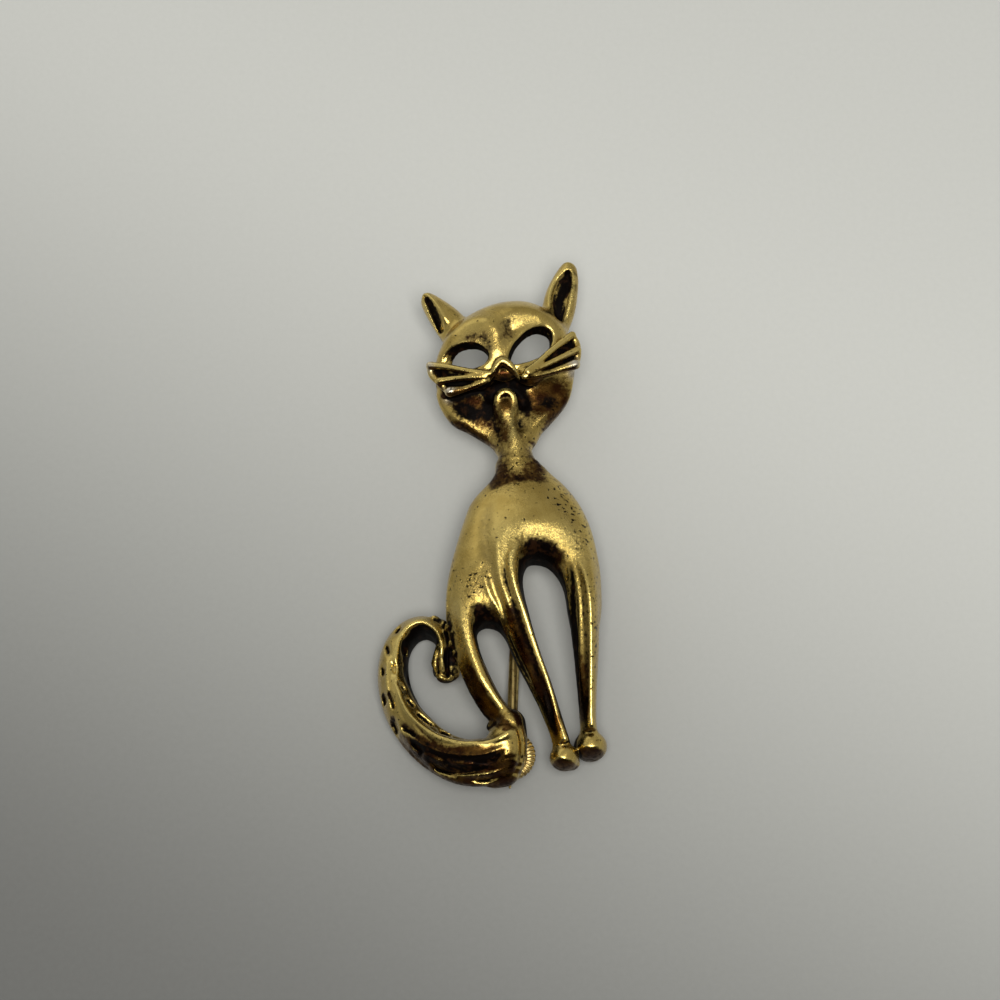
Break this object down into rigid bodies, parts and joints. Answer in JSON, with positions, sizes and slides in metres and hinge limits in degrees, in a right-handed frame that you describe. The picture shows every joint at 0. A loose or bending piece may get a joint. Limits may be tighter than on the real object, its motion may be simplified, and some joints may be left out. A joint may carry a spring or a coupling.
{
  "type": "cat brooch",
  "caption": "Hollow-backed cast brooch of a sitting cat with a tall neck and a curled tail, with a hinged pin stem and an open catch on the back.",
  "frame": {"origin": "bottom centre of the bounding box, on the table that the brooch lies on, face up", "axes": "+X across the cat to the right as the viewer sees it, +Y from the paws up to the ears, +Z from the table up to the viewer, out of the face"},
  "size_m": [0.0256, 0.0629, 0.0115],
  "materials": {
    "casting": "antiqued, satin with dark recesses",
    "pin_parts": "plain, slightly dulled"
  },
  "bodies": {
    "brooch": {"cat_casting": "casting", "hinge_plate": "pin_parts", "hinge_rivet": "pin_parts", "catch_ring": "pin_parts"},
    "pin": {"pin_stem": "pin_parts"}
  },
  "joints": [
    {"name": "pin_open", "type": "hinge", "parent": "brooch", "child": "pin", "pos_m": [0.0032, 0.00375, 0.0017], "axis": [0.9994, -0.0349, 0], "range_deg": [0, 95]}
  ]
}
